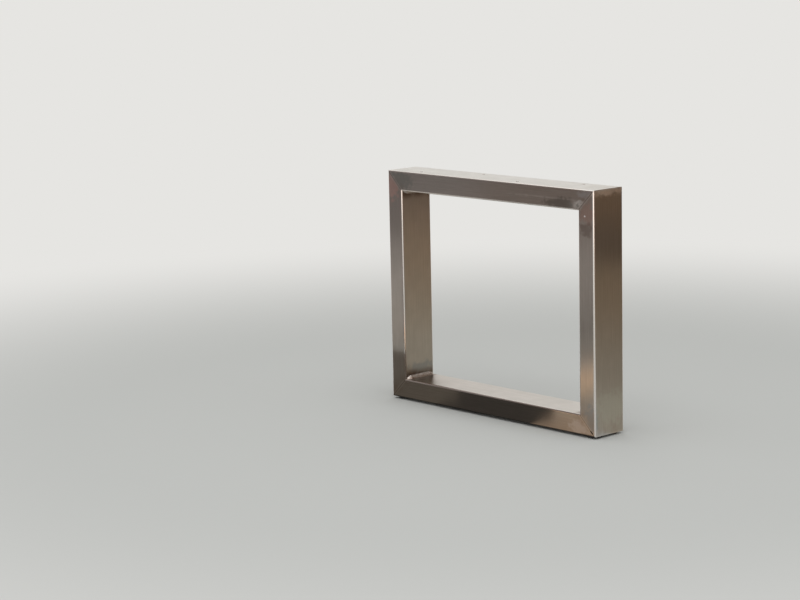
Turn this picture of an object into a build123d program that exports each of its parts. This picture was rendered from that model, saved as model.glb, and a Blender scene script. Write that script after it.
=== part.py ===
"""Ring leg of a coffee table: four mitred lengths of brushed stainless steel tube, welded into an
upright rectangle, with screw holes for the table top and four round rubber pads underneath.

Frame, in millimetres: X along the width of the leg, Y along the depth of the tube with the front
at -Y, and Z up. The origin is on the floor, under the middle of the leg.
"""

import os

from build123d import *

# The ring, measured over its steel
RING_WIDTH = 420.0
RING_HEIGHT = 350.0
RING_CORNER_RADIUS = 1.2

# The tube, a 60 x 30 mm rectangle with its long side across the leg
TUBE_DEPTH = 60.0
TUBE_THICKNESS = 30.0
TUBE_WALL = 2.0
TUBE_EDGE_RADIUS = 3.0

# The rubber pads, two to an end
PAD_DIAMETER = 20.0
PAD_THICKNESS = 3.0
PAD_RIM_CHAMFER = 0.8
PAD_FROM_END = 14.0
PAD_FROM_MIDDLE = 15.5

# The screw holes, in a zigzag along the top tube, each with a wider access hole below it
SCREW_HOLE_DIAMETER = 5.0
ACCESS_HOLE_DIAMETER = 8.0
HOLE_PITCH = 100.0
HOLE_FROM_MIDDLE = 16.0
HOLE_COUNT = 4

# The weld bead left in each inner corner
WELD_LEG = 5.0
WELD_CROWN = 0.5
WELD_LENGTH = TUBE_DEPTH - 2 * TUBE_EDGE_RADIUS

# The pit that the grinding left in the front weld at the lower right corner
PIT_LENGTH = 5.5
PIT_WIDTH = 1.5
PIT_DEPTH = 0.7
PIT_FROM_CORNER = 6.6

# Heights and half sizes that follow from these
RING_BOTTOM = PAD_THICKNESS
RING_TOP = RING_BOTTOM + RING_HEIGHT
RING_MIDDLE = RING_BOTTOM + RING_HEIGHT / 2
HALF_WIDTH = RING_WIDTH / 2
HALF_HEIGHT = RING_HEIGHT / 2
HALF_DEPTH = TUBE_DEPTH / 2
HALF_TUBE = TUBE_THICKNESS / 2

# Directions of a plane's axes
X_AXIS = (1, 0, 0)
Y_AXIS = (0, 1, 0)
Z_AXIS = (0, 0, 1)
FRONT = (0, -1, 0)

# Sides of the ring, and the way each tube runs from a mitre
LEFT, RIGHT = -1, 1
LOW, HIGH = -1, 1
ALONG_X, ALONG_Z = 1, -1
MITRE_ANGLE = 45.0


def mitre(side, level, run):
    """The plane of the mitre at one corner of the ring, facing the tube that runs along X or Z."""
    corner = (side * HALF_WIDTH, 0, RING_MIDDLE + level * HALF_HEIGHT)
    return Plane(origin=corner, z_dir=(-side * run, 0, level * run))


# The outside of the ring, which gives its ground outer corners their small radius
with BuildPart() as envelope:
    with BuildSketch(Plane(origin=(0, 0, RING_MIDDLE), x_dir=X_AXIS, z_dir=FRONT)):
        RectangleRounded(RING_WIDTH, RING_HEIGHT, RING_CORNER_RADIUS)
    extrude(amount=HALF_DEPTH, both=True)


def mitred_tube(middle, half_length, cuts):
    """One hollow length of tube, drawn on the plane across its middle and mitred at both ends."""
    with BuildPart() as tube:
        with BuildSketch(middle):
            RectangleRounded(TUBE_DEPTH, TUBE_THICKNESS, TUBE_EDGE_RADIUS)
            RectangleRounded(
                TUBE_DEPTH - 2 * TUBE_WALL,
                TUBE_THICKNESS - 2 * TUBE_WALL,
                TUBE_EDGE_RADIUS - TUBE_WALL,
                mode=Mode.SUBTRACT,
            )
        extrude(amount=half_length, both=True)
        for cut in cuts:
            split(bisect_by=cut)
        add(envelope.part, mode=Mode.INTERSECT)
    return tube.part


def level_tube(level):
    """The top or the bottom length of the ring."""
    middle_z = RING_MIDDLE + level * (HALF_HEIGHT - HALF_TUBE)
    middle = Plane(origin=(0, 0, middle_z), x_dir=Y_AXIS, z_dir=X_AXIS)
    return mitred_tube(middle, HALF_WIDTH, [mitre(LEFT, level, ALONG_X), mitre(RIGHT, level, ALONG_X)])


def upright_tube(side):
    """The left or the right length of the ring."""
    middle_x = side * (HALF_WIDTH - HALF_TUBE)
    middle = Plane(origin=(middle_x, 0, RING_MIDDLE), x_dir=Y_AXIS, z_dir=Z_AXIS)
    return mitred_tube(middle, HALF_HEIGHT, [mitre(side, LOW, ALONG_Z), mitre(side, HIGH, ALONG_Z)])


# The pit, half of it in each of the two tubes that meet at the lower right corner
PIT_PLACE = (HALF_WIDTH - PIT_FROM_CORNER, -HALF_DEPTH, RING_BOTTOM + PIT_FROM_CORNER)
with BuildPart() as pit:
    with BuildSketch(Plane(origin=PIT_PLACE, x_dir=X_AXIS, z_dir=FRONT)):
        SlotOverall(PIT_LENGTH, PIT_WIDTH, rotation=-MITRE_ANGLE)
    extrude(amount=PIT_DEPTH, both=True)

# Where the screws go, in front of and behind the middle line by turns
SCREW_PLACES = []
for number in range(HOLE_COUNT):
    hole_x = (number - (HOLE_COUNT - 1) / 2) * HOLE_PITCH
    hole_y = HOLE_FROM_MIDDLE if number % 2 else -HOLE_FROM_MIDDLE
    SCREW_PLACES.append((hole_x, hole_y))

# The top tube: a screw hole in its top wall over each access hole in its lower wall
with BuildPart() as top_tube:
    add(level_tube(HIGH))
    with Locations(*[(x, y, RING_TOP) for x, y in SCREW_PLACES]):
        Hole(SCREW_HOLE_DIAMETER / 2, depth=HALF_TUBE)
    with Locations(*[(x, y, RING_TOP - TUBE_THICKNESS) for x, y in SCREW_PLACES]):
        Hole(ACCESS_HOLE_DIAMETER / 2, depth=HALF_TUBE)

# The bottom tube, which stands on the pads
with BuildPart() as bottom_tube:
    add(level_tube(LOW))
    add(pit.part, mode=Mode.SUBTRACT)

# The two uprights
with BuildPart() as left_upright:
    add(upright_tube(LEFT))

with BuildPart() as right_upright:
    add(upright_tube(RIGHT))
    add(pit.part, mode=Mode.SUBTRACT)


def corner_weld(side, level):
    """The bead in one inner corner: its two toes on the flat walls, and a low crown between them."""
    corner_x = side * (HALF_WIDTH - TUBE_THICKNESS)
    corner_z = RING_MIDDLE + level * (HALF_HEIGHT - TUBE_THICKNESS)
    upright_toe = (corner_x, corner_z - level * WELD_LEG)
    tube_toe = (corner_x - side * WELD_LEG, corner_z)
    crown_in = WELD_LEG / 2 + WELD_CROWN
    crown = (corner_x - side * crown_in, corner_z - level * crown_in)
    with BuildPart() as weld:
        with BuildSketch(Plane(origin=(0, 0, 0), x_dir=X_AXIS, z_dir=FRONT)):
            with BuildLine():
                Polyline(upright_toe, (corner_x, corner_z), tube_toe)
                ThreePointArc(tube_toe, crown, upright_toe)
            make_face()
        extrude(amount=WELD_LENGTH / 2, both=True)
    return weld.part


def rubber_pad(side, across):
    """One pad, with a chamfer round the rim that stands on the floor."""
    place = (side * (HALF_WIDTH - PAD_FROM_END), across * PAD_FROM_MIDDLE, 0)
    with BuildPart() as pad:
        with BuildSketch(Plane(origin=place, x_dir=X_AXIS, z_dir=Z_AXIS)):
            Circle(PAD_DIAMETER / 2)
        extrude(amount=PAD_THICKNESS)
        chamfer(pad.edges().group_by(Axis.Z)[0], length=PAD_RIM_CHAMFER)
    return pad.part


PIECES = {
    "top_tube": top_tube.part,
    "bottom_tube": bottom_tube.part,
    "left_upright": left_upright.part,
    "right_upright": right_upright.part,
    "weld_top_left": corner_weld(LEFT, HIGH),
    "weld_top_right": corner_weld(RIGHT, HIGH),
    "weld_bottom_left": corner_weld(LEFT, LOW),
    "weld_bottom_right": corner_weld(RIGHT, LOW),
    "pad_front_left": rubber_pad(LEFT, -1),
    "pad_front_right": rubber_pad(RIGHT, -1),
    "pad_back_left": rubber_pad(LEFT, 1),
    "pad_back_right": rubber_pad(RIGHT, 1),
}

os.makedirs("parts", exist_ok=True)
for name, piece in PIECES.items():
    piece.label = name
    export_step(piece, f"parts/{name}.step")
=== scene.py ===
"""Looks of a coffee table leg: a welded ring of brushed stainless steel tube on four rubber pads.

Laid out as a Blender add-on and run as a script. Lengths are in metres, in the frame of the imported
model: X along the width of the leg, Y along the depth of the tube with the front at -Y, Z up.
"""

import math
import random

import bpy
from bpy.props import FloatProperty, FloatVectorProperty, IntProperty, PointerProperty
from bpy.types import Operator, Panel, PropertyGroup
from mathutils import Matrix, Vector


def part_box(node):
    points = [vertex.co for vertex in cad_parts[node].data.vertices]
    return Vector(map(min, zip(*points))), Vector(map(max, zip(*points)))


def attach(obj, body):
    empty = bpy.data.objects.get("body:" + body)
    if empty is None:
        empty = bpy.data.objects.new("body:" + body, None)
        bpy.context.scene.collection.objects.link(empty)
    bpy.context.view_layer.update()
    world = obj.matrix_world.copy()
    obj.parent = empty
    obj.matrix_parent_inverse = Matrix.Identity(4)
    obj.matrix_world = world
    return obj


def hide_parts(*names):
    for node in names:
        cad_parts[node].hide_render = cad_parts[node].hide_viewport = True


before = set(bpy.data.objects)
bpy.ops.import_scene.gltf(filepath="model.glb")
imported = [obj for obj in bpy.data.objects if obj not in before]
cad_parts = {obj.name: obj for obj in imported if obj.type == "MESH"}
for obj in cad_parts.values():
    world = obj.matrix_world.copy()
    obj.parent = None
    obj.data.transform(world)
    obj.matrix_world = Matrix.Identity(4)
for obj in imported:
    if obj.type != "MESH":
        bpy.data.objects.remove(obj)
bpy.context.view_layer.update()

bl_info = {
    "name": "Coffee table leg",
    "version": (1, 0, 0),
    "blender": (4, 5, 0),
    "location": "3D View > Sidebar > Table Leg",
    "description": "Finishes a welded ring leg of brushed steel tube and sets it in a plain studio",
    "category": "Object",
}

MM = 0.001

# Names of the carried-over pieces, and the side of the middle that each word in them stands for
LEVEL_TUBES = ("top_tube", "bottom_tube")
UPRIGHT_TUBES = ("left_upright", "right_upright")
SIDES = {"left": -1, "right": 1}
LEVELS = {"bottom": -1, "top": 1}
DEPTHS = ("front", "back")

# The axis that a tube runs along, as its place in a vector
ALONG_X, ALONG_Z = 0, 2

# The ring, read from the frame
RING_LOW, RING_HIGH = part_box("bottom_tube")[0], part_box("top_tube")[1]
HALF_WIDTH = RING_HIGH.x
HALF_DEPTH = RING_HIGH.y
HALF_HEIGHT = (RING_HIGH.z - RING_LOW.z) / 2
MIDDLE_Z = (RING_HIGH.z + RING_LOW.z) / 2
TUBE_THICKNESS = RING_HIGH.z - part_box("top_tube")[0].z
WELD_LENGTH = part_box("weld_top_left")[1].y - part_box("weld_top_left")[0].y
WELD_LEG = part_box("weld_top_left")[1].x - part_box("weld_top_left")[0].x
PAD_LOW, PAD_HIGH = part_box("pad_front_right")
PAD_RADIUS = (PAD_HIGH.x - PAD_LOW.x) / 2
PAD_THICKNESS = PAD_HIGH.z

# The holes along the top tube, in a zigzag: screw holes above, wider access holes below
HOLE_PLACES = ((-0.15, -0.016), (-0.05, 0.016), (0.05, -0.016), (0.15, 0.016))
SCREW_RADIUS = 2.5 * MM
ACCESS_RADIUS = 4 * MM

# The pit in the ground weld at the lower right corner
PIT_FROM_CORNER = 6.6 * MM
PIT_MIDDLE = (HALF_WIDTH - PIT_FROM_CORNER, -HALF_DEPTH, RING_LOW.z + PIT_FROM_CORNER)

# How strongly the painted highlights on the rounded edges and round the holes cover the steel's own colour
EDGE_HIGHLIGHT_STRENGTH = 0.85
HOLE_HIGHLIGHT_STRENGTH = 0.8

# Sizes of what the noise draws in each surface
RAGGED_EDGE = 7 * MM
HEAT_PATCH = 12 * MM
WELD_PATCH = 3 * MM
RUBBER_BLOTCH = 4 * MM
RUBBER_GRIT = 0.8 * MM

# Meshes: how finely they are drawn, and the angle up to which an edge is shaded smooth
RIPPLE_STEPS = 4
RIPPLE_JITTER = 0.03 * MM
BEAD_SMOOTHING = math.radians(40)
PAD_SIDES = 64
PAD_EDGE_STEPS = 4
PAD_SMOOTHING = math.radians(35)

# A face looks down, or is flat underneath, where its normal's Z is less than this
LOOKS_DOWN = -0.9
FLAT_BELOW = -0.999

# The Mix node's sockets for colours, which share their names with its other sockets
MIX_BELOW, MIX_ABOVE, MIX_RESULT = 6, 7, 2

# Marks and painted reflections on the steel: middle and half size in millimetres, colour, how strongly it
# shows, and how much rougher the grinding has left it. Some are real, ground smudges and heat tint by the
# mitres; others are painted reflections, light and dark, such as the dark band on the top tube's front near
# x 147 mm. The tints at the corners are partly heat tint and partly painted reflection.
LEVEL_MARKS_AND_REFLECTIONS = (
    ((181, -30, 330), (17, 8, 9), "FFFDFA", 0.85, 0.36),
    ((120, -30, 337), (75, 6, 1.6), "E4E1DD", 0.6, 0.08),
    ((147, -30, 330), (34, 6, 10), "97958F", 0.75, 0.0),
    ((201, -30, 346), (22, 6, 10), "E2E6EA", 0.7, 0.03),
    ((-184, -30, 337), (28, 6, 17), "A9ADA8", 0.75, 0.0),
    ((180, -30, 13), (22, 8, 12), "E4E6EA", 0.7, 0.0),
    ((186, 8, 353), (26, 22, 8), "B9B2A8", 0.4, 0.0),
)
UPRIGHT_MARKS_AND_REFLECTIONS = (
    ((-203, -30, 329), (18, 8, 24), "EACDC5", 0.85, 0.03),
    ((197, -30, 319), (15, 6, 18), "D3B1A5", 0.5, 0.0),
    ((195, -30, 297), (15, 6, 11), "9A8F88", 0.7, 0.0),
    ((193, -30, 316), (1.4, 1.4, 1.4), "FFFFFF", 1.0, 0.3),
    ((204, -30, 28), (16, 8, 22), "B2B8BC", 0.9, 0.0),
    ((210, 0, 353), (6, 48, 11), "FBF0E4", 0.8, 0.2),
    ((210, 4, 42), (6, 40, 26), "D2D6CE", 0.5, 0.06),
    ((-180, 6, 42), (6, 36, 15), "A2A8AE", 0.7, 0.0),
)


def linear(hex_colour):
    """One sRGB hex colour as linear red, green and blue."""
    parts = [int(hex_colour[i:i + 2], 16) / 255 for i in (0, 2, 4)]
    return tuple(p / 12.92 if p <= 0.04045 else ((p + 0.055) / 1.055) ** 2.4 for p in parts)


def opaque(colour):
    """A linear colour with its alpha, as an input wants it. A socket stays as it is."""
    return colour if isinstance(colour, bpy.types.NodeSocket) else (*colour, 1.0)


def add(tree, kind, inputs=None, **settings):
    """Adds one node. settings are its own, and each input is a value or another node's output."""
    node = tree.nodes.new(kind)
    for name, value in settings.items():
        setattr(node, name, value)
    for key, value in (inputs or {}).items():
        if isinstance(value, bpy.types.NodeSocket):
            tree.links.new(value, node.inputs[key])
        else:
            node.inputs[key].default_value = value
    return node


def new_material(name):
    """An empty node material and its tree."""
    material = bpy.data.materials.new(name)
    material.use_nodes = True
    material.node_tree.nodes.clear()
    return material, material.node_tree


def noise(tree, place, size, detail=2.0, roughness=0.5):
    """Noise whose features measure size along X, Y and Z, in metres, as a value from 0 to 1."""
    scale = tuple(1 / length for length in size)
    mapped = add(tree, "ShaderNodeMapping", {"Vector": place, "Scale": scale})
    fields = {"Vector": mapped.outputs[0], "Scale": 1.0, "Detail": detail, "Roughness": roughness}
    return add(tree, "ShaderNodeTexNoise", fields).outputs["Fac"]


def share(tree, *parts):
    """How strongly something shows where every part has to hold. A part is a share itself, or a value
    with the start and end of the fade that it goes through, and the share at both if not 0 and 1."""
    total = 1.0
    for part in parts:
        if isinstance(part, tuple):
            value, start, end, low, high = (*part, 0.0, 1.0)[:5]
            fields = {"Value": value, "From Min": start, "From Max": end, "To Min": low, "To Max": high}
            part = add(tree, "ShaderNodeMapRange", fields, interpolation_type="SMOOTHSTEP").outputs[0]
        total = add(tree, "ShaderNodeMath", {0: total, 1: part}, operation="MULTIPLY").outputs[0]
    return total


def laid_over(tree, below, above, *parts):
    """below, with above laid over it by the share that the parts give. Both are linear colours or
    sockets."""
    fields = {0: share(tree, *parts), MIX_BELOW: opaque(below), MIX_ABOVE: opaque(above)}
    return add(tree, "ShaderNodeMix", fields, data_type="RGBA").outputs[MIX_RESULT]


def whereabouts(tree):
    """Where a point lies, as sockets by name: its place, its height, its distances inwards from the
    ring's outer faces, and its distances from the nearest mitre plane and the nearest inner corner."""
    place = add(tree, "ShaderNodeTexCoord").outputs["Object"]
    middle, half_size = (0.0, 0.0, MIDDLE_Z), (HALF_WIDTH, HALF_DEPTH, HALF_HEIGHT)
    off_middle = add(tree, "ShaderNodeVectorMath", {0: place, 1: middle}, operation="SUBTRACT")
    off_middle = add(tree, "ShaderNodeVectorMath", {0: off_middle.outputs[0]}, operation="ABSOLUTE")
    inwards = add(
        tree, "ShaderNodeVectorMath", {0: half_size, 1: off_middle.outputs[0]}, operation="SUBTRACT"
    ).outputs[0]
    across = (math.sqrt(0.5), 0.0, -math.sqrt(0.5))
    off_mitre = add(tree, "ShaderNodeVectorMath", {0: inwards, 1: across}, operation="DOT_PRODUCT")
    off_mitre = add(tree, "ShaderNodeMath", {0: off_mitre.outputs["Value"]}, operation="ABSOLUTE")
    flat = add(tree, "ShaderNodeVectorMath", {0: inwards, 1: (1.0, 0.0, 1.0)}, operation="MULTIPLY")
    corner = (TUBE_THICKNESS, 0.0, TUBE_THICKNESS)
    off_corner = add(
        tree, "ShaderNodeVectorMath", {0: flat.outputs[0], 1: corner}, operation="DISTANCE"
    )
    inset = add(tree, "ShaderNodeSeparateXYZ", {0: inwards}).outputs
    return {
        "place": place,
        "height": add(tree, "ShaderNodeSeparateXYZ", {0: place}).outputs["Z"],
        "inset x": inset["X"],
        "inset y": inset["Y"],
        "inset z": inset["Z"],
        "off mitre": off_mitre.outputs[0],
        "off corner": off_corner.outputs["Value"],
    }


def edge_highlight_share(tree, spot, along):
    """How far a point lies on the rounded edges of its tube, which get a painted highlight and are polished
    smoother.
    """
    inset = spot["inset z"] if along == ALONG_X else spot["inset x"]
    half_tube = TUBE_THICKNESS / 2
    off_axis = add(tree, "ShaderNodeMath", {0: inset, 1: half_tube}, operation="SUBTRACT").outputs[0]
    off_axis = add(tree, "ShaderNodeMath", {0: off_axis}, operation="ABSOLUTE").outputs[0]
    near_face = (spot["inset y"], 1.2 * MM, 2.6 * MM, 1.0, 0.0)
    near_side = (off_axis, half_tube - 2.6 * MM, half_tube - 1.2 * MM)
    parts = [near_face, near_side]
    if along == ALONG_X:
        # The edges that stand over the floor get no painted highlight
        over_floor = (spot["height"], RING_LOW.z + 3 * MM, RING_LOW.z + 6 * MM)
        parts.append(over_floor)
    return share(tree, *parts)


def hole_rim_highlights(tree, spot):
    """How far a point lies on the deburred rim round a hole, which gets a painted highlight."""
    flat = add(tree, "ShaderNodeVectorMath", {0: spot["place"], 1: (1.0, 1.0, 0.0)}, operation="MULTIPLY")
    nearest = 2 * HALF_WIDTH
    for x, y in HOLE_PLACES:
        away = add(
            tree, "ShaderNodeVectorMath", {0: flat.outputs[0], 1: (x, y, 0.0)}, operation="DISTANCE"
        ).outputs["Value"]
        nearest = add(tree, "ShaderNodeMath", {0: away, 1: nearest}, operation="MINIMUM").outputs[0]
    rings = []
    for radius, height in ((ACCESS_RADIUS, RING_HIGH.z - TUBE_THICKNESS), (SCREW_RADIUS, RING_HIGH.z)):
        level = {0: spot["height"], 1: height, 2: MM}
        on_face = add(tree, "ShaderNodeMath", level, operation="COMPARE").outputs[0]
        near_hole = (nearest, radius + 0.5 * MM, radius + 1.2 * MM, 1.0, 0.0)
        rings.append(share(tree, near_hole, on_face))
    return add(tree, "ShaderNodeMath", {0: rings[0], 1: rings[1]}, operation="MAXIMUM").outputs[0]


def with_marks_and_reflections(tree, spot, steel, marks_and_reflections):
    """steel with each mark and painted reflection laid over it as a ragged patch, and the roughness that
    they add.
    """
    ragged = noise(tree, spot["place"], [RAGGED_EDGE] * 3, detail=3.0)
    wobble = add(
        tree, "ShaderNodeMapRange",
        {"Value": ragged, "From Min": 0.25, "From Max": 0.75, "To Min": -0.35, "To Max": 0.35},
        interpolation_type="SMOOTHSTEP",
    ).outputs[0]
    added = 0.0
    for middle, half_size, tone, strength, rougher in marks_and_reflections:
        middle, half_size = [[length * MM for length in vector] for vector in (middle, half_size)]
        off = add(tree, "ShaderNodeVectorMath", {0: spot["place"], 1: middle}, operation="SUBTRACT")
        scaled = add(tree, "ShaderNodeVectorMath", {0: off.outputs[0], 1: half_size}, operation="DIVIDE")
        away = add(tree, "ShaderNodeVectorMath", {0: scaled.outputs[0]}, operation="LENGTH")
        both = {0: away.outputs["Value"], 1: wobble}
        ragged_away = add(tree, "ShaderNodeMath", both, operation="ADD").outputs[0]
        patch = (ragged_away, 0.45, 1.15, strength, 0.0)
        covered = share(tree, patch)
        steel = laid_over(tree, steel, linear(tone), covered)
        if rougher:
            more = {0: covered, 1: rougher, 2: added}
            added = add(tree, "ShaderNodeMath", more, operation="MULTIPLY_ADD").outputs[0]
    return steel, added


def heated(tree, spot, steel, finish):
    """steel with a trace of the heat of welding on its ground faces and all of it in the inner corners."""
    patch = noise(tree, spot["place"], [HEAT_PATCH] * 3, detail=3.0)
    near_mitre = (spot["off mitre"], 1 * MM, 14 * MM, 0.35, 0.0)
    thin = (patch, 0.4, 0.7)
    steel = laid_over(tree, steel, finish.heat_tint, near_mitre, thin)
    near_corner = (spot["off corner"], 3 * MM, 16 * MM, 0.85, 0.0)
    thick = (patch, 0.2, 0.6, 0.5, 1.0)
    unground = (spot["inset y"], 1.5 * MM, 3.5 * MM)
    return laid_over(tree, steel, finish.burn, near_corner, thick, unground)


def seamed(tree, spot, steel, finish):
    """steel with the seam of each mitre, a dark hairline with a bright ground band beside it."""
    ground_band = (spot["off mitre"], 1.0 * MM, 3.5 * MM, 0.5, 0.0)
    hairline = (spot["off mitre"], 0.3 * MM, 0.8 * MM, 0.6, 0.0)
    steel = laid_over(tree, steel, finish.seam, ground_band)
    return laid_over(tree, steel, finish.burn, hairline)


def shaded_low_edges(tree, spot, steel, finish):
    """steel with painted shade on the two edges that stand just over the floor, for the dark gap under the
    tube that they reflect.
    """
    lowest = (spot["height"], RING_LOW.z + 1.4 * MM, RING_LOW.z + 3.0 * MM, 0.95, 0.0)
    at_edge = (spot["inset y"], 3 * MM, 6 * MM, 1.0, 0.0)
    return laid_over(tree, steel, finish.low_edge_shade, lowest, at_edge)


def shaded_pit(tree, spot, steel, finish):
    """steel with painted shade, near black, in the pit that the grinding left."""
    off_pit = add(tree, "ShaderNodeVectorMath", {0: spot["place"], 1: PIT_MIDDLE}, operation="DISTANCE")
    in_reach = (off_pit.outputs["Value"], 2.8 * MM, 3.4 * MM, 1.0, 0.0)
    in_slot = (spot["off mitre"], 0.8 * MM, 1.1 * MM, 1.0, 0.0)
    return laid_over(tree, steel, finish.pit_shade, in_reach, in_slot)


def brushed_steel(name, along, finish, marks_and_reflections):
    """Brushed stainless tube. Long fine scratches stretch its reflections across the tube."""
    material, tree = new_material(name)
    spot = whereabouts(tree)
    lengths = [finish.scratch_width] * 3
    lengths[along] = finish.scratch_length
    scratch = noise(tree, spot["place"], lengths)
    cloud = noise(tree, spot["place"], [finish.cloud_size] * 3)

    dense, handled = (scratch, 0.3, 0.7), (cloud, 0.35, 0.65, 0.0, 0.45)
    steel = laid_over(tree, finish.steel, finish.scratch, dense)
    steel = laid_over(tree, steel, finish.cloud, handled)
    # Marks and painted reflections, light and dark
    steel, rougher = with_marks_and_reflections(tree, spot, steel, marks_and_reflections)
    steel = heated(tree, spot, steel, finish)
    steel = seamed(tree, spot, steel, finish)
    # Painted highlight on the rounded edges, which the roughness below also makes smoother
    highlighted = edge_highlight_share(tree, spot, along)
    steel = laid_over(tree, steel, finish.highlighted, highlighted, EDGE_HIGHLIGHT_STRENGTH)
    if along == ALONG_X:
        # Painted highlight round the holes, on their deburred rims
        steel = laid_over(tree, steel, finish.highlighted, hole_rim_highlights(tree, spot), HOLE_HIGHLIGHT_STRENGTH)
        # Painted shade along the edges just over the floor
        steel = shaded_low_edges(tree, spot, steel, finish)
    # Painted shade in the weld pit
    steel = shaded_pit(tree, spot, steel, finish)

    smooth, dull = finish.roughness, finish.roughness + finish.cloud_dulling
    rough = add(
        tree, "ShaderNodeMapRange",
        {"Value": cloud, "From Min": 0.3, "From Max": 0.7, "To Min": smooth, "To Max": dull},
        interpolation_type="SMOOTHSTEP",
    ).outputs[0]
    rough = add(tree, "ShaderNodeMath", {0: rough, 1: rougher}, operation="ADD").outputs[0]
    polished = {0: highlighted, 1: -finish.edge_polish, 2: rough}
    rough = add(tree, "ShaderNodeMath", polished, operation="MULTIPLY_ADD").outputs[0]
    relief = add(tree, "ShaderNodeBump", {"Strength": 0.06, "Distance": 0.1 * MM, "Height": scratch})
    tangent = [0.0, 0.0, 0.0]
    tangent[along] = 1.0
    grain = add(tree, "ShaderNodeCombineXYZ", dict(enumerate(tangent)))
    shader = add(
        tree, "ShaderNodeBsdfPrincipled",
        {
            "Base Color": steel,
            "Metallic": 1.0,
            "Roughness": rough,
            "Anisotropic": finish.anisotropy,
            "Anisotropic Rotation": 0.25,
            "Normal": relief.outputs[0],
            "Tangent": grain.outputs[0],
        },
    )
    add(tree, "ShaderNodeOutputMaterial", {"Surface": shader.outputs[0]})
    return material


def weld_metal(finish):
    """Bare weld metal, wire brushed. It is duller than the tube, with brown oxide in blotches."""
    material, tree = new_material("Wire-brushed weld metal")
    place = add(tree, "ShaderNodeTexCoord").outputs["Object"]
    patch = noise(tree, place, [WELD_PATCH] * 3, detail=3.0)
    oxide = (patch, 0.35, 0.7, 0.1, 0.75)
    colour = laid_over(tree, finish.steel, finish.heat_tint, oxide)
    relief = add(tree, "ShaderNodeBump", {"Strength": 0.2, "Distance": 0.2 * MM, "Height": patch})
    shader = add(
        tree, "ShaderNodeBsdfPrincipled",
        {"Base Color": colour, "Metallic": 1.0, "Roughness": 0.42, "Normal": relief.outputs[0]},
    )
    add(tree, "ShaderNodeOutputMaterial", {"Surface": shader.outputs[0]})
    return material


def pad_rubber(finish):
    """Moulded rubber, scuffed by floors. It is black and matt, with grey dust in blotches."""
    material, tree = new_material("Scuffed moulded rubber")
    place = add(tree, "ShaderNodeTexCoord").outputs["Object"]
    blotch = noise(tree, place, [RUBBER_BLOTCH] * 3, detail=4.0, roughness=0.6)
    grit = noise(tree, place, [RUBBER_GRIT] * 3)
    dusty = (blotch, 0.45, 0.7, 0.0, 0.6)
    colour = laid_over(tree, finish.rubber, finish.dust, dusty)
    relief = add(tree, "ShaderNodeBump", {"Strength": 0.5, "Distance": 0.2 * MM, "Height": grit})
    rough = add(
        tree, "ShaderNodeMapRange",
        {"Value": blotch, "From Min": 0.3, "From Max": 0.7, "To Min": 0.55, "To Max": 0.8},
        interpolation_type="SMOOTHSTEP",
    )
    shader = add(
        tree, "ShaderNodeBsdfPrincipled",
        {"Base Color": colour, "Roughness": rough.outputs[0], "Normal": relief.outputs[0]},
    )
    add(tree, "ShaderNodeOutputMaterial", {"Surface": shader.outputs[0]})
    return material


def hand_over(piece, material, node):
    """Gives a finished piece its material and its body, and hides the CAD node that it stands for."""
    piece.data.materials.clear()
    piece.data.materials.append(material)
    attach(piece, "root")
    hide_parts(node)


def select_where(test):
    """Selects only the faces of the mesh in edit mode whose normal passes the test."""
    bpy.ops.mesh.select_all(action="DESELECT")
    bpy.ops.object.mode_set(mode="OBJECT")
    for face in bpy.context.object.data.polygons:
        face.select = test(face.normal)
    bpy.ops.object.mode_set(mode="EDIT")


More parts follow.
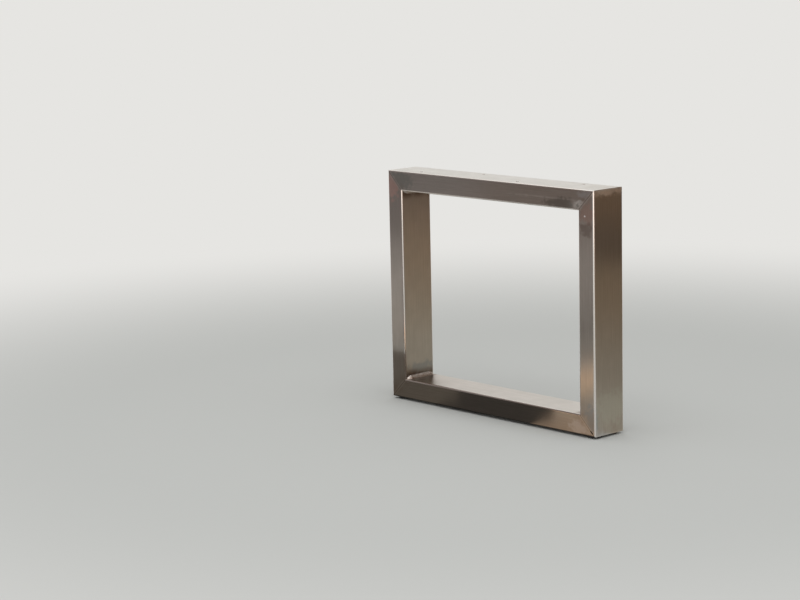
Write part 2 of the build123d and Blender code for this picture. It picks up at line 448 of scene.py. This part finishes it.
class LegFinish(PropertyGroup):
    """Colours and grain of the surfaces."""

    steel: FloatVectorProperty(
        name="Steel", description="Bare brushed steel", subtype="COLOR", default=linear("CFCBC6")
    )
    scratch: FloatVectorProperty(
        name="Scratch", description="Steel where scratches are dense", subtype="COLOR",
        default=linear("C3BFB9"),
    )
    cloud: FloatVectorProperty(
        name="Cloud", description="Steel where it was handled", subtype="COLOR", default=linear("C1BEB8")
    )
    # Painted highlight: a near-white colour laid on the rounded edges and round the holes
    highlighted: FloatVectorProperty(
        name="Rubbed edge", description="Steel rubbed bright", subtype="COLOR", default=linear("FAF3EE")
    )
    heat_tint: FloatVectorProperty(
        name="Heat tint", description="Trace of oxide on a ground face", subtype="COLOR",
        default=linear("A38B7E"),
    )
    burn: FloatVectorProperty(
        name="Burn", description="Oxide that was not ground away", subtype="COLOR", default=linear("6F5C4C")
    )
    # Painted shade inside the weld pit
    pit_shade: FloatVectorProperty(
        name="Soot", description="Black inside a weld pit", subtype="COLOR", default=linear("12100E")
    )
    # Painted shade on the lowest edges, for the dark gap under the tube that they reflect
    low_edge_shade: FloatVectorProperty(
        name="Grime", description="Floor dirt on the lowest edges", subtype="COLOR",
        default=linear("3A342F"),
    )
    seam: FloatVectorProperty(
        name="Seam", description="Ground weld line in a mitre", subtype="COLOR", default=linear("E6E3DF")
    )
    rubber: FloatVectorProperty(
        name="Rubber", description="Rubber of the pads", subtype="COLOR", default=linear("1B1B1E")
    )
    dust: FloatVectorProperty(
        name="Dust", description="Dust on the rubber", subtype="COLOR", default=linear("55545A")
    )
    roughness: FloatProperty(
        name="Roughness", description="Roughness of the brushed steel", default=0.28, min=0.0, max=1.0
    )
    cloud_dulling: FloatProperty(
        name="Cloud dulling", description="How much rougher the dull clouds are",
        default=0.03, min=0.0, max=0.2,
    )
    edge_polish: FloatProperty(
        name="Edge polish", description="How much smoother the rubbed edges are",
        default=0.19, min=0.0, max=0.2,
    )
    anisotropy: FloatProperty(
        name="Grain", description="How far the brushing stretches a reflection",
        default=0.8, min=0.0, max=1.0,
    )
    scratch_width: FloatProperty(
        name="Scratch width", description="Drawn wider than real ones, which are too fine to show",
        default=1.2 * MM, unit="LENGTH",
    )
    scratch_length: FloatProperty(
        name="Scratch length", description="Length of a scratch", default=60 * MM, unit="LENGTH"
    )
    cloud_size: FloatProperty(
        name="Cloud size", description="Size of the dull clouds on the steel", default=22 * MM,
        unit="LENGTH",
    )


class WeldShape(PropertyGroup):
    """Sizes of the weld beads."""

    arc_radius: FloatProperty(
        name="Crown radius", description="Radius of the bead's rounded front", default=9.2 * MM,
        unit="LENGTH",
    )
    ripple_pitch: FloatProperty(
        name="Ripple pitch", description="Distance between two ripples", default=1.5 * MM, unit="LENGTH"
    )
    ripple_height: FloatProperty(
        name="Ripple height", description="Height of a ripple over its valley", default=0.22 * MM,
        unit="LENGTH",
    )
    end_drop: FloatProperty(
        name="End drop", description="How far the bead sinks at its ends", default=3.6 * MM,
        unit="LENGTH",
    )
    end_length: FloatProperty(
        name="End length", description="How long it takes to rise", default=8.0 * MM, unit="LENGTH"
    )
    segments: IntProperty(name="Segments", description="Sides of the bead's circle", default=128, min=32)


class PadShape(PropertyGroup):
    """Sizes of the rubber pads."""

    rim: FloatProperty(name="Rim", description="Width of the raised rim", default=1.6 * MM, unit="LENGTH")
    dish: FloatProperty(
        name="Dish", description="Depth of the face inside it", default=0.3 * MM, unit="LENGTH"
    )
    edge: FloatProperty(name="Edge", description="Rounding of the rim", default=0.8 * MM, unit="LENGTH")


class Studio(PropertyGroup):
    """Floor, light and what the metal reflects."""

    floor: FloatVectorProperty(
        name="Floor", description="Floor round the leg", subtype="COLOR", default=linear("BFC1C0")
    )
    backdrop: FloatVectorProperty(
        name="Backdrop", description="Floor far from the leg", subtype="COLOR", default=linear("E6E5E2")
    )
    air: FloatVectorProperty(
        name="Air", description="Light from all round", subtype="COLOR", default=linear("E6E5E2")
    )
    lamp_power: FloatProperty(
        name="Lamp", description="Power of the soft lamp", default=19.0, unit="POWER"
    )


class LEG_OT_brush_tubes(Operator):
    """Gives the four tubes their brushed steel, with the scratches along each tube."""

    bl_idname = "leg.brush_tubes"
    bl_label = "Brushed tubes"

    def execute(self, context):
        finish = context.scene.leg_finish
        level = brushed_steel("Stainless steel brushed along X", ALONG_X, finish, LEVEL_MARKS_AND_REFLECTIONS)
        upright = brushed_steel("Stainless steel brushed along Z", ALONG_Z, finish, UPRIGHT_MARKS_AND_REFLECTIONS)
        for names, material in ((LEVEL_TUBES, level), (UPRIGHT_TUBES, upright)):
            for name in names:
                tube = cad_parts[name]
                tube.material_slots[0].material = material
        return {"FINISHED"}


class LEG_OT_weld_beads(Operator):
    """Models the rippled weld bead in each inner corner."""

    bl_idname = "leg.weld_beads"
    bl_label = "Weld beads"

    def execute(self, context):
        shape = context.scene.leg_welds
        material = weld_metal(context.scene.leg_finish)
        for level_name, level in LEVELS.items():
            for side_name, side in SIDES.items():
                self.bead(shape, material, side_name, side, level_name, level)
        return {"FINISHED"}

    def bead(self, shape, material, side_name, side, level_name, level):
        """One bead: a circle drawn out ripple by ripple and cut back to the corner's two walls."""
        corner_x = side * (HALF_WIDTH - TUBE_THICKNESS)
        corner_z = MIDDLE_Z + level * (HALF_HEIGHT - TUBE_THICKNESS)
        # The circle passes through both toes, so its middle lies this far inside each wall
        inset = (math.sqrt(2 * shape.arc_radius ** 2 - WELD_LEG ** 2) - WELD_LEG) / 2
        middle_x, middle_z = corner_x + side * inset, corner_z + level * inset
        radius = shape.arc_radius - shape.end_drop
        draw = random.Random(level_name + side_name)
        bpy.ops.object.select_all(action="DESELECT")
        bpy.ops.mesh.primitive_circle_add(
            vertices=shape.segments, radius=radius, fill_type="NGON",
            location=(middle_x, -WELD_LENGTH / 2, middle_z), rotation=(math.pi / 2, 0, 0),
        )
        piece = bpy.context.object
        piece.name = f"weld_bead_{level_name}_{side_name}"
        bpy.ops.object.transform_apply()
        bpy.ops.object.mode_set(mode="EDIT")
        bpy.ops.mesh.select_all(action="SELECT")
        count = int(WELD_LENGTH / shape.ripple_pitch) * RIPPLE_STEPS
        for step in range(count):
            bpy.ops.mesh.extrude_region_move(TRANSFORM_OT_translate={"value": (0, WELD_LENGTH / count, 0)})
            along = (step + 1) / count * WELD_LENGTH
            from_end = min(along, WELD_LENGTH - along)
            swell = math.sin(math.pi / 2 * min(1.0, from_end / shape.end_length))
            ripple = abs(math.sin(math.pi * (step + 1) / RIPPLE_STEPS)) * shape.ripple_height * swell
            jitter = draw.uniform(-RIPPLE_JITTER, RIPPLE_JITTER)
            next_radius = shape.arc_radius + ripple - (1 - swell) * shape.end_drop + jitter
            ratio = next_radius / radius
            radius = next_radius
            y = along - WELD_LENGTH / 2
            bpy.ops.transform.resize(value=(ratio, 1, ratio), center_override=(middle_x, y, middle_z))
        for normal, place in (((side, 0, 0), (corner_x, 0, 0)), ((0, 0, level), (0, 0, corner_z))):
            bpy.ops.mesh.select_all(action="SELECT")
            bpy.ops.mesh.bisect(plane_co=place, plane_no=normal, use_fill=True, clear_outer=True)
        bpy.ops.mesh.select_all(action="SELECT")
        bpy.ops.mesh.normals_make_consistent(inside=False)
        bpy.ops.object.mode_set(mode="OBJECT")
        bpy.ops.object.shade_smooth_by_angle(angle=BEAD_SMOOTHING)
        hand_over(piece, material, f"weld_{level_name}_{side_name}")


class LEG_OT_rubber_pads(Operator):
    """Models the four round pads with their raised rims."""

    bl_idname = "leg.rubber_pads"
    bl_label = "Rubber pads"

    def execute(self, context):
        shape = context.scene.leg_pads
        material = pad_rubber(context.scene.leg_finish)
        for depth_name in DEPTHS:
            for side_name in SIDES:
                self.pad(shape, material, f"pad_{depth_name}_{side_name}")
        return {"FINISHED"}

    def pad(self, shape, material, node):
        """One pad: a disc with a rounded lower rim round a shallow dish."""
        low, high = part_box(node)
        bpy.ops.object.select_all(action="DESELECT")
        bpy.ops.mesh.primitive_cylinder_add(
            vertices=PAD_SIDES, radius=PAD_RADIUS, depth=PAD_THICKNESS,
            location=((low.x + high.x) / 2, (low.y + high.y) / 2, PAD_THICKNESS / 2),
        )
        piece = bpy.context.object
        piece.name = node.replace("pad", "rubber_pad")
        bpy.ops.object.transform_apply()
        bpy.ops.object.mode_set(mode="EDIT")
        select_where(lambda normal: normal.z < LOOKS_DOWN)
        bpy.ops.mesh.bevel(
            offset=shape.edge, offset_type="OFFSET", segments=PAD_EDGE_STEPS, affect="EDGES"
        )
        select_where(lambda normal: normal.z < FLAT_BELOW)
        bpy.ops.mesh.inset(thickness=shape.rim)
        bpy.ops.mesh.inset(thickness=shape.dish)
        bpy.ops.transform.translate(value=(0, 0, shape.dish))
        bpy.ops.object.mode_set(mode="OBJECT")
        bpy.ops.object.shade_smooth_by_angle(angle=PAD_SMOOTHING)
        hand_over(piece, material, node)


class LEG_OT_studio(Operator):
    """Sets the leg on a pale floor under soft light, with the camera at its place."""

    bl_idname = "leg.studio"
    bl_label = "Studio"

    def execute(self, context):
        studio = context.scene.leg_studio
        self.floor(studio)
        self.air(context, studio)
        self.lamp(studio)
        self.standing_cards()
        self.low_cards()
        self.camera(context)
        context.scene.view_settings.view_transform = "Standard"
        return {"FINISHED"}

    def floor(self, studio):
        """A wide floor, matt grey round the leg and glowing pale far away."""
        bpy.ops.object.select_all(action="DESELECT")
        bpy.ops.mesh.primitive_circle_add(vertices=96, radius=60.0, fill_type="NGON", location=(0, 0, 0))
        floor = bpy.context.object
        floor.name = "studio_floor"
        material, tree = new_material("Painted screed")
        place = add(tree, "ShaderNodeTexCoord").outputs["Object"]
        away = add(tree, "ShaderNodeVectorMath", {0: place}, operation="LENGTH").outputs["Value"]
        far_off = (away, 0.6, 1.8)
        far = share(tree, far_off)
        near = add(
            tree, "ShaderNodeBsdfPrincipled",
            {"Base Color": opaque(studio.floor), "Roughness": 1.0, "Specular IOR Level": 0.0},
        )
        pale = add(tree, "ShaderNodeEmission", {"Color": opaque(studio.backdrop), "Strength": 1.0})
        both = add(tree, "ShaderNodeMixShader", {0: far, 1: near.outputs[0], 2: pale.outputs[0]})
        add(tree, "ShaderNodeOutputMaterial", {"Surface": both.outputs[0]})
        floor.data.materials.append(material)

    def air(self, context, studio):
        """Even light from all round."""
        world = bpy.data.worlds.new("Studio air")
        world.use_nodes = True
        tree = world.node_tree
        tree.nodes.clear()
        sky = add(tree, "ShaderNodeBackground", {"Color": opaque(studio.air), "Strength": 1.0})
        add(tree, "ShaderNodeOutputWorld", {"Surface": sky.outputs[0]})
        context.scene.world = world

    def lamp(self, studio):
        """One large soft lamp overhead."""
        bpy.ops.object.light_add(type="AREA", location=(0.4, -0.6, 2.6))
        lamp = bpy.context.object
        lamp.name = "soft_lamp"
        lamp.data.shape = "SQUARE"
        lamp.data.size = 2.0
        lamp.data.energy = studio.lamp_power

    def standing_cards(self):
        """Upright cards all round, out of the camera's sight, which only the metal reflects."""
        # Bearings from the leg, named as the camera sees them
        right = math.radians(47.3)
        left, back, front = right + math.pi, right + math.pi / 2, right - math.pi / 2
        self.standing_card(
            "card_right_near", bearing=right, distance=0.42, aside=-0.80, size=(1.54, 1.2),
            tones={0.0: "8F877A", 0.18: "7D6B57", 0.225: "524438", 0.31: "6B5541"},
        )
        self.standing_card(
            "card_right_far", bearing=right, distance=0.42, aside=0.77, size=(1.60, 1.2),
            tones={0.0: "9D917F", 0.14: "94806B", 0.22: "836F5F", 0.26: "5F5145"},
        )
        self.standing_card(
            "card_left_far", bearing=left, distance=0.55, aside=-0.37, size=(0.70, 1.2),
            tones={0.0: "8C8278", 0.04: "B2ABA4", 0.12: "AEA8A3", 0.23: "7B7472"},
        )
        self.standing_card(
            "card_left_near", bearing=left, distance=0.55, aside=0.27, size=(0.58, 1.2),
            tones={0.0: "3B332D", 0.10: "8D847F", 0.16: "8F8681", 0.21: "72655F"},
        )
        self.standing_card(
            "card_window", bearing=front, distance=2.0, aside=0.0, size=(1.4, 2.0),
            tones={0.0: "FFF2E9"}, strength=1.5,
        )
        self.standing_card(
            "card_back", bearing=back, distance=0.9, aside=0.0, size=(2.4, 2.4),
            tones={0.22: "CAC4BF", 0.42: "E6E5E2"}, strength=1.3,
        )

    def low_cards(self):
        """Small cards that stand or lie close to the leg's foot, for what the lowest parts reflect."""
        # Rotations of a card that lies on the floor, and of those that stand along X and along Y
        lying, along_x, along_y = (0, 0, 0), (math.pi / 2, 0, 0), (math.pi / 2, 0, math.pi / 2)
        # They stand in for a second leg lying in front and for the floor round the foot. The dark ones are
        # painted shade: the floor in shadow between the legs and that leg's shaded side.
        cards = (
            ("card_low_far", (-0.225, -0.085, 0.03), along_x, (0.21, 0.06), {0.0: "5F5850"}),
            ("card_low_near", (-0.02, -0.085, 0.03), along_x, (0.20, 0.06), {0.0: "3D3935"}),
            ("card_foot_far", (-0.225, -0.0575, 0.001), lying, (0.21, 0.055), {0.0: "5F5850"}),
            ("card_foot_near", (-0.02, -0.0575, 0.001), lying, (0.20, 0.055), {0.0: "3D3935"}),
            (
                "card_low_side", (0.052, -0.28, 0.03), along_y, (0.39, 0.06),
                {0.006: "584E40", 0.021: "D2B494", 0.047: "E7C3A2"},
            ),
            ("card_foot_side", (0.145, -0.12, 0.001), lying, (0.13, 0.18), {0.0: "A48F7C"}),
            ("card_foot_left", (-0.20, -0.455, 0.001), lying, (0.22, 0.20), {0.0: "584F48"}),
            ("card_foot_back", (0.15, 0.23, 0.001), lying, (0.7, 0.44), {0.0: "A19A8D"}),
        )
        for name, place, rotation, size, tones in cards:
            self.card(name, place, rotation, size, tones)

    def standing_card(self, name, bearing, distance, aside, size, tones, strength=1.0):
        """A card that stands on the floor at a bearing from the leg and faces it, moved aside along its
        width."""
        x = distance * math.cos(bearing) - aside * math.sin(bearing)
        y = distance * math.sin(bearing) + aside * math.cos(bearing)
        place = (x, y, size[1] / 2)
        self.card(name, place, (math.pi / 2, 0, bearing + math.pi / 2), size, tones, strength)

    def card(self, name, place, rotation, size, tones, strength=1.0):
        """One card that glows in the given tones, each at its height over the floor."""
        bpy.ops.object.select_all(action="DESELECT")
        bpy.ops.mesh.primitive_plane_add(size=1.0, location=place, rotation=rotation)
        card = bpy.context.object
        card.name = name
        card.scale = (*size, 1.0)
        bpy.ops.object.transform_apply()
        material, tree = new_material(f"Glowing {name}")
        spot = add(tree, "ShaderNodeTexCoord").outputs["Object"]
        height = add(tree, "ShaderNodeSeparateXYZ", {0: spot}).outputs["Z"]
        heights = sorted(tones)
        colour = linear(tones[heights[0]])
        for low, high in zip(heights, heights[1:]):
            colour = laid_over(tree, colour, linear(tones[high]), (height, low, high))
        glow = add(tree, "ShaderNodeEmission", {"Color": opaque(colour), "Strength": strength})
        add(tree, "ShaderNodeOutputMaterial", {"Surface": glow.outputs[0]})
        card.data.materials.append(material)
        card.visible_camera = False
        card.visible_diffuse = False
        card.visible_shadow = False

    def camera(self, context):
        """The camera, low and far off at the right, a little tilted."""
        bpy.ops.object.camera_add(location=(2.2478, -2.2768, 0.7295))
        camera = bpy.context.object
        camera.name = "camera"
        camera.data.sensor_width = 36.0
        camera.data.lens = 99.27
        heading, pitch, roll = math.radians(47.32), math.radians(9.83), math.radians(-1.24)
        turn = Matrix.Rotation(heading, 3, "Z") @ Matrix.Rotation(math.pi / 2 - pitch, 3, "X")
        camera.rotation_euler = (turn @ Matrix.Rotation(roll, 3, "Z")).to_euler()
        context.scene.camera = camera


class LEG_PT_panel(Panel):
    """Lists the steps in the order that they are run in."""

    bl_idname = "LEG_PT_panel"
    bl_label = "Coffee table leg"
    bl_space_type = "VIEW_3D"
    bl_region_type = "UI"
    bl_category = "Table Leg"

    def draw(self, context):
        for step in STEPS:
            self.layout.operator(step.bl_idname)


STEPS = (LEG_OT_studio, LEG_OT_brush_tubes, LEG_OT_weld_beads, LEG_OT_rubber_pads)
GROUPS = {"leg_finish": LegFinish, "leg_welds": WeldShape, "leg_pads": PadShape, "leg_studio": Studio}


def register():
    """Registers the settings, the steps and the panel."""
    for name, group in GROUPS.items():
        bpy.utils.register_class(group)
        setattr(bpy.types.Scene, name, PointerProperty(type=group))
    for step in STEPS:
        bpy.utils.register_class(step)
    bpy.utils.register_class(LEG_PT_panel)


def unregister():
    """Takes them away again, in the opposite order."""
    bpy.utils.unregister_class(LEG_PT_panel)
    for step in reversed(STEPS):
        bpy.utils.unregister_class(step)
    for name, group in reversed(GROUPS.items()):
        delattr(bpy.types.Scene, name)
        bpy.utils.unregister_class(group)


def main():
    """Runs each step in order."""
    register()
    bpy.ops.leg.studio()
    bpy.ops.leg.brush_tubes()
    bpy.ops.leg.weld_beads()
    bpy.ops.leg.rubber_pads()


if __name__ == "__main__":
    main()
